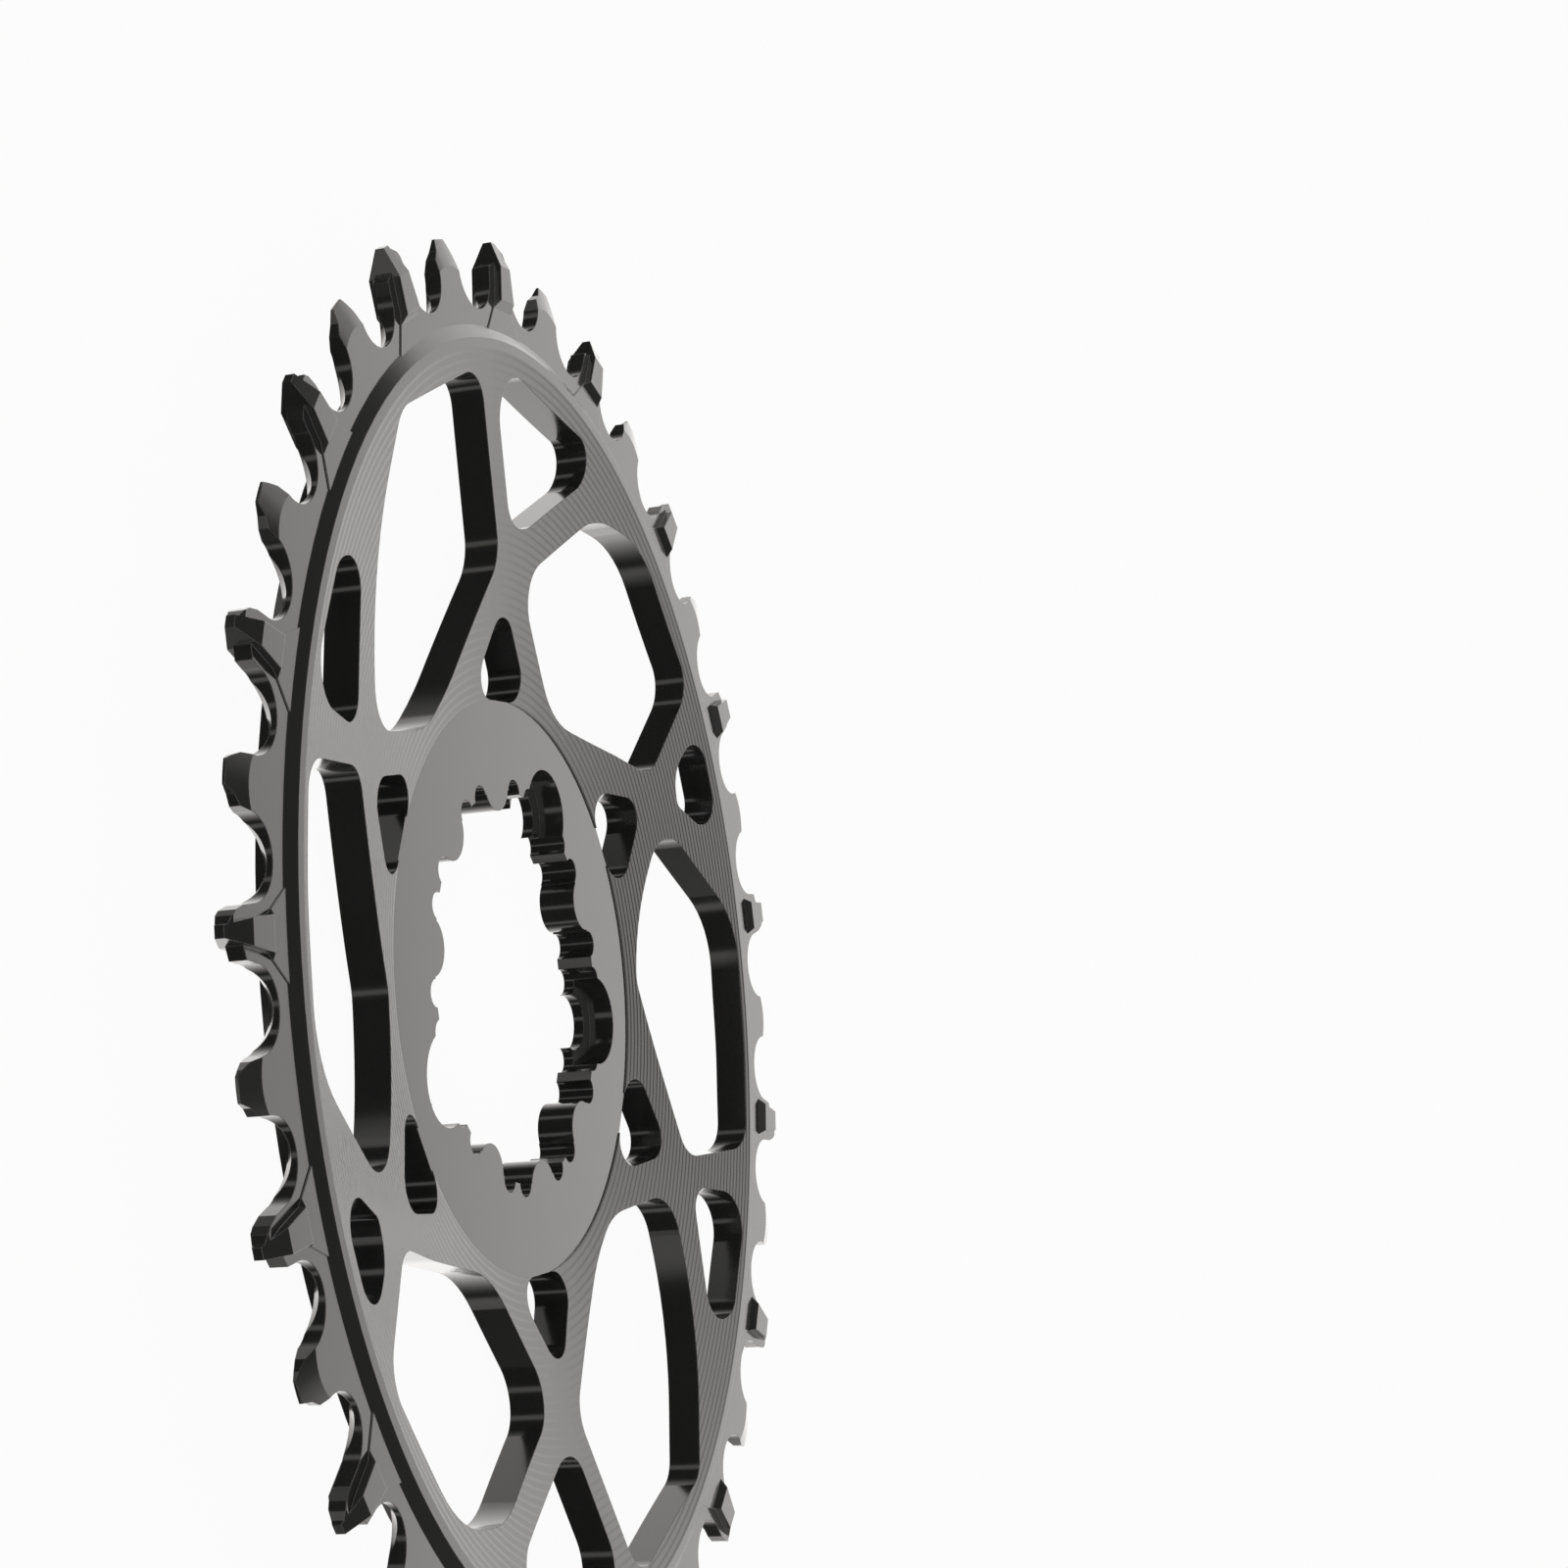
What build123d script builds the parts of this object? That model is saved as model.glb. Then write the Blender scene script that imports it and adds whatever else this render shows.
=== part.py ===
from build123d import *
import math
import os

# Oval bicycle chainring, milled from one blank of aluminium.
# Frame: the ring's axis is +Z, the long axis of its oval is X, the hub's rear face lies on Z = 0
# and the dished front looks up. All lengths are in millimetres, all angles in degrees.

# Chain and teeth: narrow and wide teeth take turns
TEETH = 34
PITCH = 12.7
OVAL_RATIO = 1.14
FIRST_PITCH_ANGLE = -9.11
SEAT_R = 3.9
NARROW_THICK = 1.7
NARROW_TIP_EDGE = 0.3
NARROW_BEVEL_START = 0.65
NARROW_BEVEL_R = 4.9
WIDE_THICK = 3.3
WIDE_TIP_EDGE = 0.9
WIDE_BEVEL_START = 1.45

# Outlines of the teeth between their roller seats, as points along and out from the chord.
# The side that leads when the ring turns has a shoulder, the other side is full.
NARROW_OUTLINE = ((2.3, 1.5), (1.8, 2.6), (1.36, 3.35), (-0.85, 3.35), (-1.44, 2.15), (-2.28, 1.33))
WIDE_OUTLINE = ((2.3, 1.5), (1.85, 2.8), (1.33, 3.45), (0.4, 4.05), (-0.3, 2.2), (-2.28, 1.33))

# Pads that make a tooth wide: half of the outline, from the flared root in the rim to the tip.
# Behind the foot a short ramp goes down to a low strip that runs into the rim.
PAD_ROOT = (4.45, -6.2)
PAD_FOOT = (1.6, -2.2)
PAD_SHOULDER = (1.15, 1.5)
PAD_TIP = (0.55, 4.25)
PAD_RAMP_RUN = 0.8
PAD_STRIP_RISE = 0.12

# Slanting scoop in the back of each roller seat
SCOOP_R = 3.8
SCOOP_TILT = 53
SCOOP_BELOW_FRONT = 0.57

# Rim, measured inwards from the pitch oval
BACK_STEP_IN = 5.7
STEP_FOOT_IN = 5.6
LAND_OUTER_IN = 7.0
LAND_INNER_IN = 8.0
RIM_THICK = 3.4
TOOTH_PLANE_BELOW_LAND = 0.75

# Dished web and hub
HUB_R = 29.7
HUB_THICK = 4.0
HUB_STEP = 0.15
DISH_RISE = 4.8
WEB_THICK = 3.8

# Splined opening: rounded lobes with two small pockets in each gap, and counterbored bolt notches
SPLINE_PATTERN = "lobe lobe lobe notch lobe lobe lobe notch lobe notch".split()
SPLINE_FIRST_ANGLE = 0.83
SPLINE_R = 20.3
LOBE_R = 3.0
LOBE_CENTRE_R = 21.2
POCKET_R = 1.4
POCKET_CENTRE_R = 20.2
POCKET_ANGLE = 5.6
NOTCH_CENTRE_R = 20.9
NOTCH_BOLT_R = 3.05
NOTCH_HEAD_R = 4.75
NOTCH_LEDGE = 1.2

# Pear-shaped holes round the hub
PEAR_COUNT = 6
PEAR_FIRST_ANGLE = -5.17
PEAR_APEX_CENTRE_R = 35.5
PEAR_APEX_R = 2.7
PEAR_BASE_CENTRE_R = 32.1
PEAR_BASE_HALF = 2.6
PEAR_BASE_R = 2.5

# Windows in the web: corner points, each with the radius that rounds it.
# The same windows come again after half a turn.
WINDOW_TOP = (
    ((27.3, 31.3), 4.5),
    ((42.3, 31.6), 39.4),
    ((57.7, 23.6), 4.4),
    ((63.3, 3.4), 3.9),
    ((44.1, -2.2), 4.4),
    ((30.5, 11.5), 29.9),
    ((27.1, 17.1), 9.4),
)
WINDOW_SIDE = (
    ((25.7, 50.9), 3.9),
    ((13.9, 54.0), 46.8),
    ((-0.8, 55.9), 10.4),
    ((-14.4, 40.7), 4.8),
    ((-4.5, 33.4), 29.3),
    ((3.2, 31.8), 4.5),
    ((24.3, 36.6), 3.4),
)
WINDOW_LOW = (
    ((-19.6, 38.4), 3.8),
    ((-29.4, 48.5), 4.1),
    ((-45.9, 37.9), 13.7),
    ((-48.9, 26.3), 12.4),
    ((-41.8, 7.7), 4.5),
    ((-26.8, 15.8), 10.4),
    ((-22.4, 30.5), 47.8),
)
WINDOW_WEDGE = (
    ((27.6, 36.6), 2.8),
    ((43.8, 34.3), 3.1),
    ((43.1, 40.5), 3.6),
    ((31.1, 49.0), 4.1),
)
WINDOW_SMALL = (
    ((-13.1, 48.8), 2.5),
    ((-12.9, 53.6), 2.8),
    ((-24.9, 50.6), 3.2),
    ((-19.8, 44.0), 4.4),
    ((-15.8, 44.3), 1.4),
)
WINDOW_RIM = (
    ((65.2, 0.3), 4.3),
    ((47.7, -4.7), 3.4),
    ((47.0, -8.5), 5.8),
    ((52.2, -22.5), 4.2),
    ((56.3, -25.7), 2.7),
)
WINDOWS = (WINDOW_TOP, WINDOW_SIDE, WINDOW_LOW, WINDOW_WEDGE, WINDOW_SMALL, WINDOW_RIM)

# Heights that follow from the sizes above
DISH_FRONT_LOW = HUB_THICK + HUB_STEP
LAND_Z = DISH_FRONT_LOW + DISH_RISE
DISH_BACK_LOW = DISH_FRONT_LOW - WEB_THICK
RIM_BACK_Z = LAND_Z - RIM_THICK
TOOTH_FRONT_Z = LAND_Z - TOOTH_PLANE_BELOW_LAND
TOOTH_BACK_Z = TOOTH_FRONT_Z - NARROW_THICK
TOOTH_MID_Z = (TOOTH_FRONT_Z + TOOTH_BACK_Z) / 2

# Half the width of the space that a cutter on one tooth may use
CUTTER_HALF = PITCH / 2 - SEAT_R / 2


def oval_point(mean, t):
    """Point of an oval with this mean radius at the ellipse's own angle t."""
    return (mean * math.sqrt(OVAL_RATIO) * math.cos(t), mean / math.sqrt(OVAL_RATIO) * math.sin(t))


def next_pitch_point(mean, t):
    """Angle of the point that lies one straight pitch further round the oval."""
    low = t
    high = t + math.pi / 2
    start = oval_point(mean, t)
    for _ in range(50):
        middle = (low + high) / 2
        if math.dist(start, oval_point(mean, middle)) < PITCH:
            low = middle
        else:
            high = middle
    return high


def walk_round(mean):
    """Angles of the pitch points, and of the point reached after the last tooth."""
    polar = math.radians(FIRST_PITCH_ANGLE)
    angles = [math.atan2(OVAL_RATIO * math.sin(polar), math.cos(polar))]
    for _ in range(TEETH):
        angles.append(next_pitch_point(mean, angles[-1]))
    return angles


def closed_mean():
    """Mean radius at which the last tooth ends where the first one starts."""
    small = TEETH * PITCH / 8
    large = TEETH * PITCH / 5
    for _ in range(50):
        middle = (small + large) / 2
        angles = walk_round(middle)
        if angles[-1] - angles[0] > 2 * math.pi:
            small = middle
        else:
            large = middle
    return large


OVAL_MEAN = closed_mean()
LONG_R = OVAL_MEAN * math.sqrt(OVAL_RATIO)
SHORT_R = OVAL_MEAN / math.sqrt(OVAL_RATIO)
PITCH_POINTS = [Vector(*oval_point(OVAL_MEAN, t)) for t in walk_round(OVAL_MEAN)[:TEETH]]


def oval_face(inwards, z):
    """Flat face at height z, bounded by the pitch oval moved inwards."""
    return Pos(0, 0, z) * Ellipse(LONG_R - inwards, SHORT_R - inwards)


def circle_face(radius, z):
    """Flat round face at height z."""
    return Pos(0, 0, z) * Circle(radius)


def is_wide(k):
    """Every second tooth is a wide one."""
    return k % 2 == 0


def inwards_at(k):
    """Unit vector from pitch point k towards the middle of its two neighbours."""
    neighbours = PITCH_POINTS[k - 1] + PITCH_POINTS[(k + 1) % TEETH]
    return (neighbours / 2 - PITCH_POINTS[k]).normalized()


def tooth_place(k):
    """Place of the tooth after pitch point k: X along its chord, Y outwards, Z = 0 on its mid-plane."""
    start = PITCH_POINTS[k]
    end = PITCH_POINTS[(k + 1) % TEETH]
    middle = (start + end) / 2
    back = start - end
    return Plane((middle.X, middle.Y, TOOTH_MID_Z), x_dir=(back.X, back.Y, 0), z_dir=(0, 0, 1))


def tooth_corners(k):
    """Corners of tooth k, from its first roller seat over the tip to its second one."""
    root = PITCH / 2 - SEAT_R
    outline = WIDE_OUTLINE if is_wide(k) else NARROW_OUTLINE
    corners = [(root, 0), *outline, (-root, 0)]
    place = tooth_place(k)
    return [place.from_local_coords(Vector(x, y, 0)) for x, y in corners]


def toothed_face():
    """Mid-plane outline of the toothed plate: round roller seats joined by straight-sided teeth."""
    edges = []
    for k in range(TEETH):
        after = (k + 1) % TEETH
        corners = tooth_corners(k)
        centre = PITCH_POINTS[after] + Vector(0, 0, TOOTH_MID_Z)
        bottom = centre + inwards_at(after) * SEAT_R
        edges += [Line(a, b) for a, b in zip(corners, corners[1:])]
        edges.append(ThreePointArc(corners[-1], bottom, tooth_corners(after)[0]))
    return make_face(edges)


def straight_bevel():
    """Wedge that thins a wide tooth towards its tip, on the front, in the tooth's own place."""
    half_thick = WIDE_THICK / 2
    tip = PAD_TIP[1]
    slope = (half_thick - WIDE_TIP_EDGE / 2) / (tip - WIDE_BEVEL_START)
    beyond = tip + WIDE_THICK
    low = half_thick - slope * (beyond - WIDE_BEVEL_START)
    side = Polyline((WIDE_BEVEL_START, half_thick), (beyond, low), (beyond, 2 * half_thick), close=True)
    return extrude(Plane.YZ * make_face(side), CUTTER_HALF, both=True)


def round_bevel():
    """Block hollowed by a slanting cylinder: thins a narrow tooth from an arc on its face to its tip."""
    half_thick = NARROW_THICK / 2
    tip = max(y for _, y in NARROW_OUTLINE)
    tilt = math.atan2(half_thick - NARROW_TIP_EDGE / 2, tip - NARROW_BEVEL_START)
    radius = NARROW_BEVEL_R / math.sin(tilt)
    block = Pos(0, tip, half_thick) * Box(2 * CUTTER_HALF, 2 * tip, NARROW_THICK)
    turned = Rot(90 - math.degrees(tilt), 0, 0) * Pos(0, -radius, 0) * Cylinder(radius, 8 * tip)
    return block - Pos(0, NARROW_BEVEL_START, half_thick) * turned


def pad_solid():
    """Pad that runs through a wide tooth: a tapered outline with flat faces, a ramp and a low strip."""
    half_wide = WIDE_THICK / 2
    half_strip = NARROW_THICK / 2 + PAD_STRIP_RISE
    right = [PAD_ROOT, PAD_FOOT, PAD_SHOULDER, PAD_TIP]
    left = [(-x, y) for x, y in reversed(right)]
    outline = extrude(make_face(Polyline(*right, *left, close=True)), WIDE_THICK, both=True)
    foot = PAD_FOOT[1]
    beyond = PAD_TIP[1] + WIDE_THICK
    front = [
        (PAD_ROOT[1], half_strip),
        (foot - PAD_RAMP_RUN, half_strip),
        (foot, half_wide),
        (beyond, half_wide),
    ]
    back = [(y, -z) for y, z in reversed(front)]
    side = make_face(Polyline(*front, *back, close=True))
    return outline & extrude(Plane.YZ * side, PAD_ROOT[0], both=True)


def seat_scoop(k):
    """Slanting cylinder that opens the back of roller seat k, deepest at the seat's bottom."""
    inwards = inwards_at(k)
    bottom = PITCH_POINTS[k] + inwards * SEAT_R + Vector(0, 0, TOOTH_FRONT_Z - SCOOP_BELOW_FRONT)
    tilt = math.radians(SCOOP_TILT)
    down = inwards * math.sin(tilt) - Vector(0, 0, math.cos(tilt))
    out_of_metal = inwards * -math.cos(tilt) - Vector(0, 0, math.sin(tilt))
    place = Plane(bottom + out_of_metal * SCOOP_R, x_dir=out_of_metal, z_dir=down)
    return place * Cylinder(SCOOP_R, 4 * NARROW_THICK)


def toothed_plate():
    """Plate with all teeth: pads on the wide ones, thinned tips and scooped roller seats."""
    plate = extrude(toothed_face(), NARROW_THICK / 2, both=True)
    plate -= [seat_scoop(k) for k in range(TEETH)]
    pad = pad_solid()
    plate += [tooth_place(k) * pad for k in range(TEETH) if is_wide(k)]
    wide_front = straight_bevel()
    narrow_front = round_bevel()
    cutters = []
    for k in range(TEETH):
        front = wide_front if is_wide(k) else narrow_front
        cutters.append(tooth_place(k) * front)
        cutters.append(tooth_place(k) * mirror(front, about=Plane.XY))
    return plate - cutters


def blank():
    """Body before its openings are cut: hub, dished web, rim and toothed plate."""
    hub = extrude(circle_face(HUB_R, 0), HUB_THICK)
    web = loft([circle_face(HUB_R, DISH_BACK_LOW), oval_face(LAND_OUTER_IN, RIM_BACK_Z)], ruled=True)
    rim_back = extrude(oval_face(BACK_STEP_IN, RIM_BACK_Z), TOOTH_MID_Z - RIM_BACK_Z)
    rim_front = loft([oval_face(STEP_FOOT_IN, TOOTH_FRONT_Z), oval_face(LAND_OUTER_IN, LAND_Z)], ruled=True)
    body = toothed_plate() + [rim_back, rim_front, web, hub]
    dish = loft([circle_face(HUB_R, DISH_FRONT_LOW), oval_face(LAND_INNER_IN, LAND_Z)], ruled=True)
    return body - [dish, extrude(circle_face(HUB_R, HUB_THICK), HUB_STEP)]


def ring_place(radius, angle):
    """Place at this radius and angle, with X pointing outwards."""
    return Rot(0, 0, angle) * Pos(radius, 0, 0)


def spline_solids():
    """Opening of the hub: a circle with lobes that reach in, pockets beside them and bolt notches."""
    step = 360 / len(SPLINE_PATTERN)
    face = Circle(SPLINE_R)
    heads = []
    for k, shape in enumerate(SPLINE_PATTERN):
        angle = SPLINE_FIRST_ANGLE + step * k
        if shape == "lobe":
            face -= ring_place(LOBE_CENTRE_R, angle) * Circle(LOBE_R)
        else:
            face += ring_place(NOTCH_CENTRE_R, angle) * Circle(NOTCH_BOLT_R)
            heads.append(ring_place(NOTCH_CENTRE_R, angle) * circle_face(NOTCH_HEAD_R, NOTCH_LEDGE))
    for k in range(len(SPLINE_PATTERN)):
        for side in (-POCKET_ANGLE, POCKET_ANGLE):
            angle = SPLINE_FIRST_ANGLE + step * (k + 0.5) + side
            face += ring_place(POCKET_CENTRE_R, angle) * Circle(POCKET_R)
    return [extrude(face, LAND_Z)] + [extrude(head, LAND_Z) for head in heads]


def pear_face():
    """One pear-shaped hole, with its narrow end outwards along X."""
    apex = Pos(PEAR_APEX_CENTRE_R, 0) * Circle(PEAR_APEX_R)
    base = [Pos(PEAR_BASE_CENTRE_R, y) * Circle(PEAR_BASE_R) for y in (-PEAR_BASE_HALF, PEAR_BASE_HALF)]
    return make_hull(apex.edges() + base[0].edges() + base[1].edges())


def window_face(corners):
    """Window with rounded corners."""
    points = [point for point, _ in corners]
    radii = [radius for _, radius in corners]
    return make_face(FilletPolyline(*points, radius=radii, close=True))


def openings():
    """Straight cuts through the whole thickness, and the seats for the bolt heads."""
    pear = pear_face()
    faces = [Rot(0, 0, PEAR_FIRST_ANGLE + 360 / PEAR_COUNT * k) * pear for k in range(PEAR_COUNT)]
    faces += [Rot(0, 0, turn) * window_face(corners) for corners in WINDOWS for turn in (0, 180)]
    return spline_solids() + [extrude(face, LAND_Z) for face in faces]


chainring = blank() - openings()

os.makedirs("parts", exist_ok=True)
export_step(chainring, "parts/chainring.step")
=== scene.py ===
# %% [markdown]
# # An oval bicycle chainring in black anodised aluminium
# The real ring is milled from one blank: a flat splined hub, a shallow dish that rises to the
# rim, and a thin toothed plate round it. It is one piece of metal, so the scene keeps the packed
# solid as it is and spends its effort on the finish, the light and the camera.

# %% Load the packed solid
import math

import bpy
import numpy as np
from mathutils import Matrix

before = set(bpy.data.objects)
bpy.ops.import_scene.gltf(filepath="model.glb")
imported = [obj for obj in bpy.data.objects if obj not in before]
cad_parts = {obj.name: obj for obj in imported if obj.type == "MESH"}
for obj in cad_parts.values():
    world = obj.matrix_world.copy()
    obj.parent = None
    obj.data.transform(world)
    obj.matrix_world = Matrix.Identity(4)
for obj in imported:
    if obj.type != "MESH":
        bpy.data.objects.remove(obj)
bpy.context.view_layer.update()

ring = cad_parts["chainring"]
MM = 0.001

# %% [markdown]
# ## Camera
# The photograph was taken close up with a long lens, almost in the plane of the ring, and the
# camera was rolled so that the long axis of the oval runs up the picture. A camera's matrix holds
# its right, up and backward directions as columns, so the place is written down directly instead
# of as angles.

# %% Place the camera
CAMERA_AT = (24.19 * MM, 284.84 * MM, 127.31 * MM)
CAMERA_RIGHT = (-0.108592, -0.304740, 0.946225)
CAMERA_UP = (0.993869, -0.053225, 0.096919)
CAMERA_BACK = (0.020827, 0.950948, 0.308651)
LENS = 68.886
SENSOR = 36.0
NEAREST, FARTHEST = 0.01, 50.0

camera_data = bpy.data.cameras.new("photo_camera")
camera_data.sensor_width = SENSOR
camera_data.lens = LENS
camera_data.clip_start = NEAREST
camera_data.clip_end = FARTHEST
camera = bpy.data.objects.new("photo_camera", camera_data)
columns = [(*CAMERA_RIGHT, 0), (*CAMERA_UP, 0), (*CAMERA_BACK, 0), (*CAMERA_AT, 1)]
camera.matrix_world = Matrix(columns).transposed()
bpy.context.scene.collection.objects.link(camera)
bpy.context.scene.camera = camera
print("camera stands", round(math.dist(CAMERA_AT, (0, 0, 0)) / MM), "mm from the ring's centre")

# %% [markdown]
# ## Shader maths as expressions
# A finish is worked out from the place of a point on the metal, and the studio from the direction
# of a ray. Wrapping a socket in a small class lets such sums be written as ordinary Python, and
# each operator adds the Math node that it stands for.


# %% A socket with operators
class Flow:
    """A shader socket: + - * / add Math nodes, make() adds any other node."""

    def __init__(self, tree, socket):
        self.tree = tree
        self.socket = socket

    @staticmethod
    def make(tree, kind, settings=None, values=None, out=0):
        """Adds a node, sets its settings, then fills or links its sockets by name or number."""
        node = tree.nodes.new(kind)
        for name, value in (settings or {}).items():
            setattr(node, name, value)
        for key, value in (values or {}).items():
            if isinstance(value, Flow):
                tree.links.new(value.socket, node.inputs[key])
            else:
                node.inputs[key].default_value = value
        return Flow(tree, node.outputs[out])

    def other(self, out):
        """Another output of the node that this socket belongs to, by name or number."""
        return Flow(self.tree, self.socket.node.outputs[out])

    def maths(self, operation, *others):
        """A Math node with this value in its first socket and the others after it."""
        values = dict(enumerate([self, *others]))
        return Flow.make(self.tree, "ShaderNodeMath", {"operation": operation}, values)

    def turned(self, operation, other):
        """A Math node with this value in its second socket, as 1 - mask needs."""
        values = {0: other, 1: self}
        return Flow.make(self.tree, "ShaderNodeMath", {"operation": operation}, values)

    def __add__(self, other):
        return self.maths("ADD", other)

    __radd__ = __add__

    def __sub__(self, other):
        return self.maths("SUBTRACT", other)

    def __rsub__(self, other):
        return self.turned("SUBTRACT", other)

    def __mul__(self, other):
        return self.maths("MULTIPLY", other)

    __rmul__ = __mul__

    def __truediv__(self, other):
        return self.maths("DIVIDE", other)

    def __rtruediv__(self, other):
        return self.turned("DIVIDE", other)

    def sine(self):
        return self.maths("SINE")

    def cosine(self):
        return self.maths("COSINE")

    def root(self):
        return self.maths("SQRT")

    def largest(self, other):
        return self.maths("MAXIMUM", other)

    def ramp(self, start, end, low=0.0, high=1.0, shape="SMOOTHSTEP"):
        """Goes from low to high while the value goes from start to end, and stays there outside."""
        values = {"Value": self, 1: start, 2: end, 3: low, 4: high}
        return Flow.make(self.tree, "ShaderNodeMapRange", {"interpolation_type": shape}, values)

    def colours(self, at_zero, at_one):
        """A colour that goes from the first to the second while the value goes from 0 to 1."""
        values = {0: self, 6: (*at_zero, 1), 7: (*at_one, 1)}
        return Flow.make(self.tree, "ShaderNodeMix", {"data_type": "RGBA"}, values, out=2)


def new_material(name):
    """An empty node material, its node tree and its output node."""
    material = bpy.data.materials.new(name)
    material.use_nodes = True
    material.node_tree.nodes.clear()
    output = material.node_tree.nodes.new("ShaderNodeOutputMaterial")
    return material, material.node_tree, output


print("operators:", [name for name in vars(Flow) if name.startswith("__r")], "and their plain forms")

# %% [markdown]
# ## Where the dish is
# The dish is the sloping web between the flat hub and the rim. It still shows the fine steps of
# the cutter, and the other faces don't, so the finish needs a mask for it: outside the hub's
# circle, inside the rim's oval, and only on faces that look up, so that the walls of the windows
# stay smooth.

# %% Mask the dish
HUB_R = 29.7 * MM
HUB_EDGE = 0.4 * MM
DISH_LONG = 65.3 * MM
DISH_SHORT = 56.3 * MM
RIM_EDGE = 0.003
STEEP, SHALLOW = 0.93, 0.97

finish, tree, output = new_material("anodised_black")
place = Flow.make(tree, "ShaderNodeTexCoord", out="Object")
x = Flow.make(tree, "ShaderNodeSeparateXYZ", values={0: place})
y, z = x.other("Y"), x.other("Z")
facing = place.other("Normal")
upward = Flow.make(tree, "ShaderNodeSeparateXYZ", values={0: facing}, out="Z")
reach = (x * x + y * y).root()
along, across = x / DISH_LONG, y / DISH_SHORT
oval = (along * along + across * across).root()
past_hub = reach.ramp(HUB_R, HUB_R + HUB_EDGE)
within_rim = oval.ramp(1.0, 1.0 - RIM_EDGE)
on_dish = past_hub * within_rim * upward.ramp(STEEP, SHALLOW)
print("dish mask nodes:", len(tree.nodes))

# %% [markdown]
# ## Steps of the cutter
# The cutter followed lines of equal height, about forty of them from the hub to the rim, so the
# steps are a wave of the height alone. A second, weaker wave of half the length leans it over: the
# treads become long and nearly level and the risers short and steep, as in a flight of worn
# stairs. They are far too shallow for the solid, so a bump draws them, with a trace of grain. The
# Bevel node adds the eased edges of deburred metal.


# %% Make the relief
def noise(place, scale, detail):
    """Soft random value from 0 to 1 that changes over about 1 / scale metres of the metal."""
    values = {"Vector": place, "Scale": scale, "Detail": detail}
    return Flow.make(place.tree, "ShaderNodeTexNoise", values=values)


DISH_RISE = 4.8 * MM
STEP_RISE = 0.122 * MM
STEP_DEPTH = 0.009 * MM
LEAN = 0.25
GRAIN, GRAIN_SCALE, GRAIN_DETAIL = 0.03, 6000.0, 2.0
EDGE_ROUND = 0.12 * MM
EDGE_SAMPLES = 6

turn = z * (2 * math.pi / STEP_RISE)
steps = (turn.sine() + LEAN * (2 * turn).sine()) * on_dish
grain = noise(place, GRAIN_SCALE, GRAIN_DETAIL)
eased = Flow.make(tree, "ShaderNodeBevel", {"samples": EDGE_SAMPLES}, {"Radius": EDGE_ROUND})
relief = Flow.make(
    tree,
    "ShaderNodeBump",
    values={
        "Height": steps + GRAIN * grain,
        "Distance": STEP_DEPTH,
        "Strength": 1.0,
        "Normal": eased,
    },
)
print("steps on the dish:", round(DISH_RISE / STEP_RISE))

# %% [markdown]
# ## Black anodised skin
# Anodising grows a clear, hard oxide on the aluminium and dyes it. The result isn't a metallic
# mirror but a glassy black skin: nearly black seen square on, silvery at a glancing angle. That is
# a dielectric with a very dark colour and the oxide's index of refraction, so Metallic is 0. A
# soft cloud varies the dye and the gloss a little, and the stepped dish is less glossy than the
# rest.

# %% Make the finish
OXIDE_IOR = 1.75
DYE_DEEP = (0.010, 0.0098, 0.0097)
DYE_THIN = (0.015, 0.0147, 0.0145)
CLOUD_SCALE, CLOUD_DETAIL = 90.0, 4.0
ROUGH, ROUGH_CLOUD, ROUGH_DISH = 0.12, 0.04, 0.06

cloud = noise(place, CLOUD_SCALE, CLOUD_DETAIL)
skin = Flow.make(
    tree,
    "ShaderNodeBsdfPrincipled",
    values={
        "Base Color": cloud.colours(DYE_DEEP, DYE_THIN),
        "Metallic": 0.0,
        "IOR": OXIDE_IOR,
        "Roughness": ROUGH + ROUGH_CLOUD * cloud + ROUGH_DISH * on_dish,
        "Normal": relief,
    },
)
tree.links.new(skin.socket, output.inputs["Surface"])
ring.data.materials.clear()
ring.data.materials.append(finish)
print("finish nodes:", len(tree.nodes))

# %% [markdown]
# ## Floor
# The ring lies on a pale floor. The photograph's background is white all over, so the floor is
# nearly white to the camera and keeps a trace of the ring's shadow. In the metal the floor shows
# as the white surround that the light below makes: rays that are mirrored or refracted, or on
# their way to the light, pass through it.


# %% Make the floor
def floor_grid(half, count):
    """Flat square: x and y run from -half to half on a grid of count lines, z is zero."""
    line = np.linspace(-half, half, count)
    gx, gy = np.meshgrid(line, line, indexing="ij")
    points = np.stack([gx, gy, np.zeros_like(gx)], axis=-1).reshape(-1, 3)
    first = (np.arange(count - 1)[:, None] * count + np.arange(count - 1)).ravel()
    faces = np.stack([first, first + count, first + count + 1, first + 1], axis=-1)
    return points, faces


FLOOR_HALF = 8.0
FLOOR_LINES = 9
FLOOR_WHITE = 0.95
PALE = (0.8, 0.8, 0.8, 1)
WHITE = (1, 1, 1, 1)

points, faces = floor_grid(FLOOR_HALF, FLOOR_LINES)
floor_mesh = bpy.data.meshes.new("floor")
floor_mesh.from_pydata(points.tolist(), [], faces.tolist())
floor = bpy.data.objects.new("floor", floor_mesh)
bpy.context.scene.collection.objects.link(floor)

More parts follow.
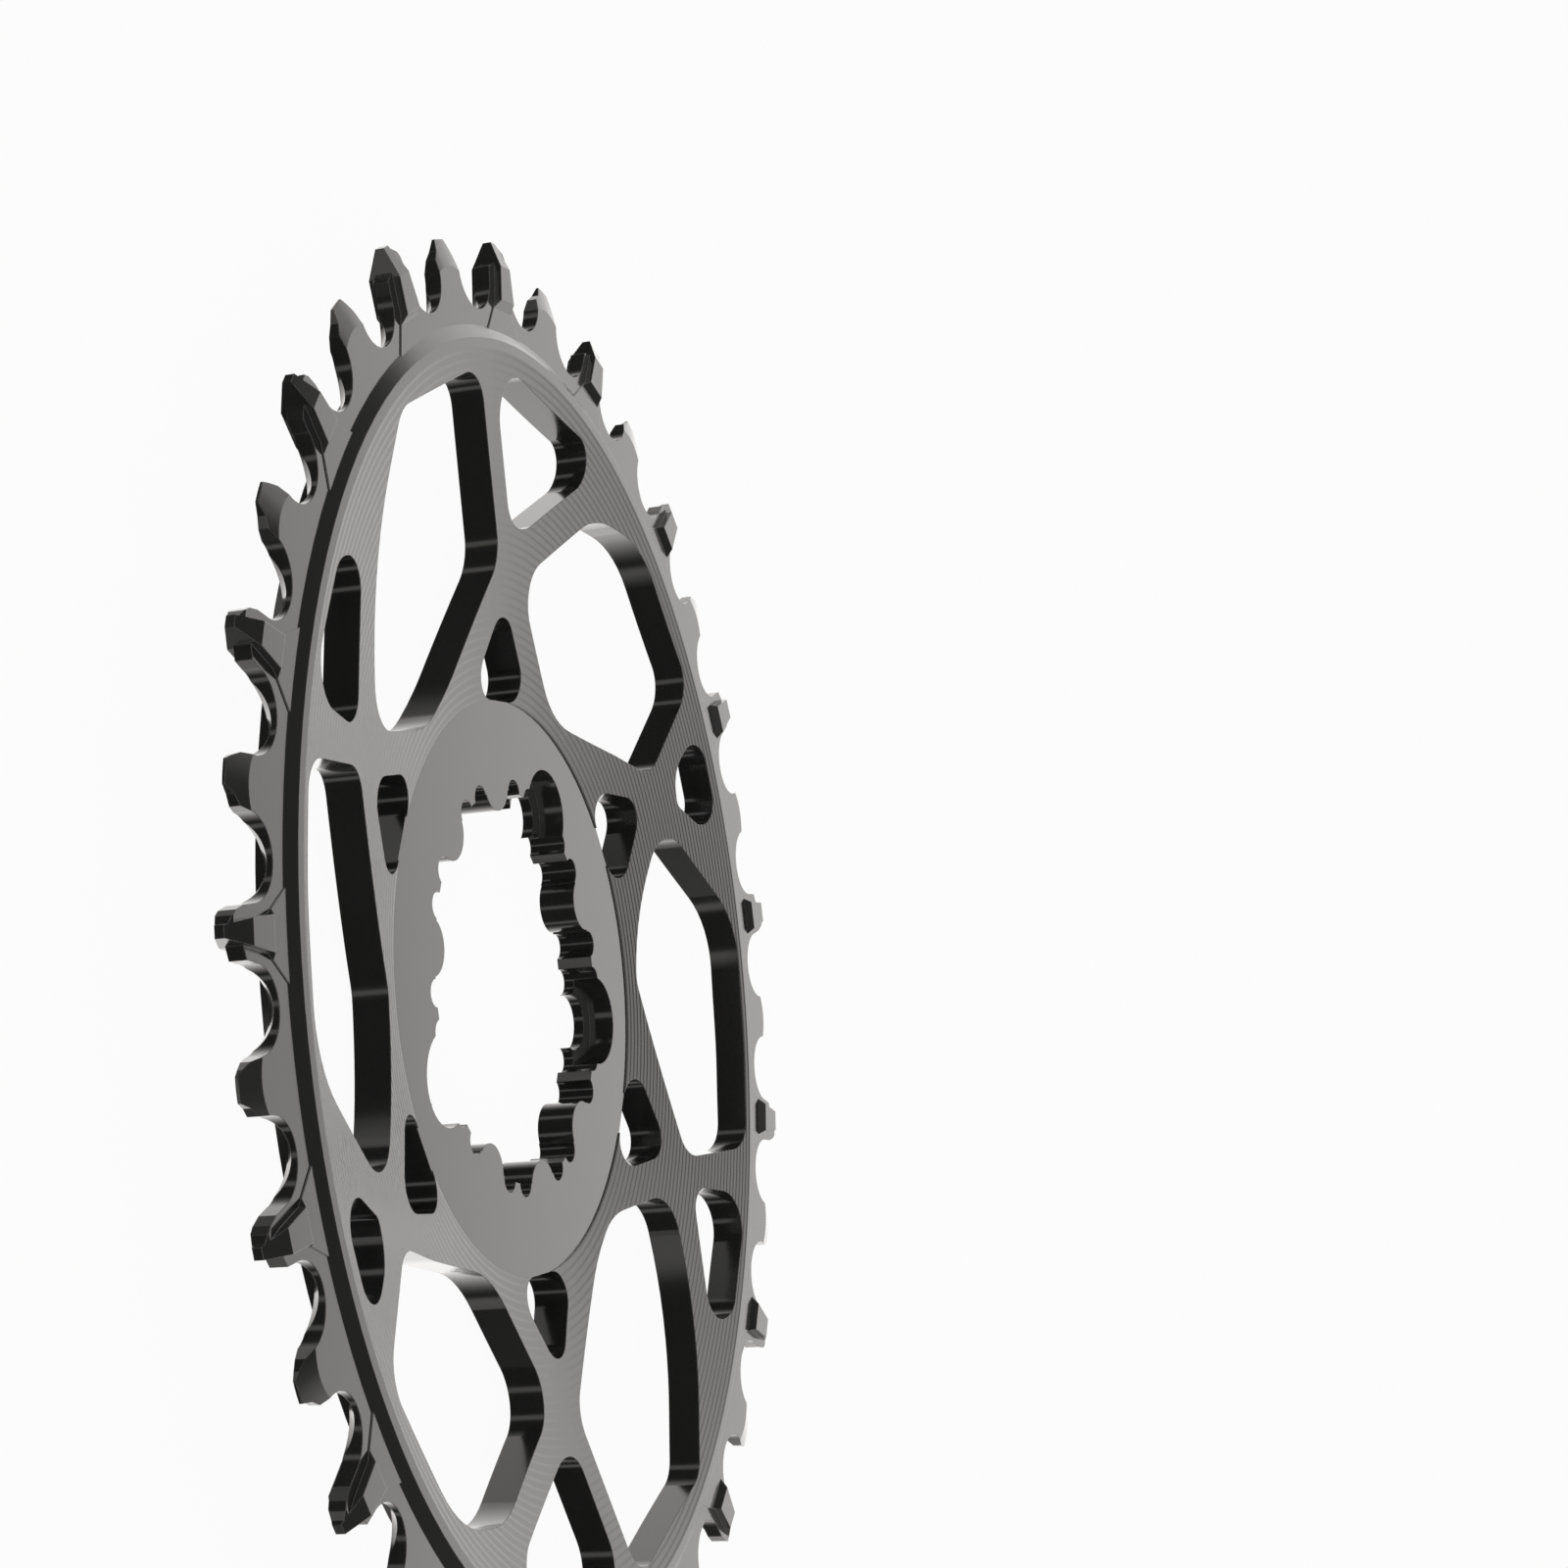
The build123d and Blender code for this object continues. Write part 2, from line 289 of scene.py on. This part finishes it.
paint, tree, output = new_material("pale_floor")
to_camera = Flow.make(tree, "ShaderNodeLightPath", out="Is Camera Ray")
to_gloss = to_camera.other("Is Glossy Ray")
to_glass = to_camera.other("Is Transmission Ray")
to_light = to_camera.other("Is Shadow Ray")
matt = Flow.make(tree, "ShaderNodeBsdfDiffuse", values={"Color": PALE})
white = Flow.make(tree, "ShaderNodeEmission", values={"Color": WHITE, "Strength": 1.0})
whiteness = FLOOR_WHITE * to_camera
solid = Flow.make(tree, "ShaderNodeMixShader", values={0: whiteness, 1: matt, 2: white})
clear = Flow.make(tree, "ShaderNodeBsdfTransparent", values={"Color": WHITE})
passing = to_gloss.largest(to_glass).largest(to_light)
surface = Flow.make(tree, "ShaderNodeMixShader", values={0: passing, 1: solid, 2: clear})
tree.links.new(surface.socket, output.inputs["Surface"])
paint.cycles.emission_sampling = "NONE"
floor_mesh.materials.append(paint)
print("floor:", len(floor_mesh.polygons), "faces")

# %% [markdown]
# ## Light
# A glossy black part is seen by what it mirrors, so the studio is drawn as light and dark round
# it. It could be built from lamps and cards. Here the world's shader gives each direction its
# brightness, which is softer, casts no hard shadow and needs no objects. The angle round the ring
# is counted from +Y, the photographer's side, so its cosine is 1 there and -1 behind the ring. The
# height of a direction is the sine of its angle above the horizon.

# %% Directions of the studio
world = bpy.data.worlds.new("studio")
bpy.context.scene.world = world
world.use_nodes = True
tree = world.node_tree
tree.nodes.clear()
output = tree.nodes.new("ShaderNodeOutputWorld")
direction = Flow.make(tree, "ShaderNodeTexCoord", out="Generated")
east = Flow.make(tree, "ShaderNodeSeparateXYZ", values={0: direction})
north, height = east.other("Y"), east.other("Z")
around = east.maths("ARCTAN2", north)


def raised(degrees):
    """Height of a direction at this angle above the horizon: the sine of the angle."""
    return math.sin(math.radians(degrees))


print("directions from:", [node.bl_idname for node in tree.nodes])

# %% [markdown]
# A white surround reaches a little above the horizon on all sides, and a white panel behind the
# ring rises higher. The flat faces mirror these two and turn silvery. A soft key light hangs above
# the camera. The rest of the ceiling is dark, and the sloping step round the rim mirrors it. Each
# pair of numbers says where a light starts to fade and where it has gone, or the other way round.

# %% White surround, rear panel and key light
SURROUND_LIGHT = 1.62
SURROUND_FADE = raised(22), raised(28)
PANEL_LIGHT = 1.12
PANEL_JOIN = raised(24.5), raised(29)
PANEL_FADE = raised(41), raised(56)
PANEL_SIDES = -0.74, -0.87
KEY_LIGHT = 0.6
KEY_FOOT = raised(38), raised(45)
KEY_TOP = raised(80), raised(72)
KEY_SIDES = 0.1, 0.5
CEILING_LIGHT = 0.12

surround = height.ramp(*SURROUND_FADE, SURROUND_LIGHT, CEILING_LIGHT, "LINEAR")
panel_foot = height.ramp(*PANEL_JOIN, SURROUND_LIGHT - PANEL_LIGHT, 0.0, "LINEAR")
panel_top = height.ramp(*PANEL_FADE, PANEL_LIGHT, CEILING_LIGHT, "LINEAR")
behind = around.cosine().ramp(*PANEL_SIDES)
key_height = height.ramp(*KEY_FOOT) * height.ramp(*KEY_TOP)
key = KEY_LIGHT * around.cosine().ramp(*KEY_SIDES) * key_height
studio = surround + (panel_foot + panel_top - surround) * behind + key
print("panel to surround:", round(PANEL_LIGHT / SURROUND_LIGHT, 2))

# %% [markdown]
# The photographer's side of the studio is dark below the horizon. The walls of the windows and of
# the spline mirror that side and stay black, apart from the thin streaks of light that come
# through a few gaps in it. The dark fades out towards the sides, so walls that are seen at a
# glance turn pale.

# %% Dark side with gaps
DARK_DEPTH = 0.98
DARK_TURN = math.radians(6)
DARK_SIDES = -0.85, -0.10
DARK_TOP = -0.06, -0.16
GAP_COUNT = 5
GAP_PHASE = 0.6
GAP_EDGE = 0.70, 1.0
GAP_LIGHT = 0.40

facing_lens = (around - DARK_TURN).cosine().ramp(*DARK_SIDES)
gaps = (around * GAP_COUNT + GAP_PHASE).cosine().ramp(*GAP_EDGE)
dark = facing_lens * (1 - GAP_LIGHT * gaps) * height.ramp(*DARK_TOP)
lit = studio * (1 - DARK_DEPTH * dark)
print("gaps in the dark side:", GAP_COUNT, "round the whole ring")

# %% [markdown]
# To the camera itself the world is plain white, like the floor. The light is a touch warm, as in
# the photograph, and the colours are shown as they are, without a film curve.

# %% Finish the light
WARM = (1.0, 0.98, 0.96)

to_camera = Flow.make(tree, "ShaderNodeLightPath", out="Is Camera Ray")
strength = lit * (1 - to_camera) + to_camera
sky = Flow.make(
    tree,
    "ShaderNodeBackground",
    values={"Color": to_camera.colours(WARM, WHITE[:3]), "Strength": strength},
)
tree.links.new(sky.socket, output.inputs["Surface"])
bpy.context.scene.view_settings.view_transform = "Standard"
print("world nodes:", len(tree.nodes))

# %% [markdown]
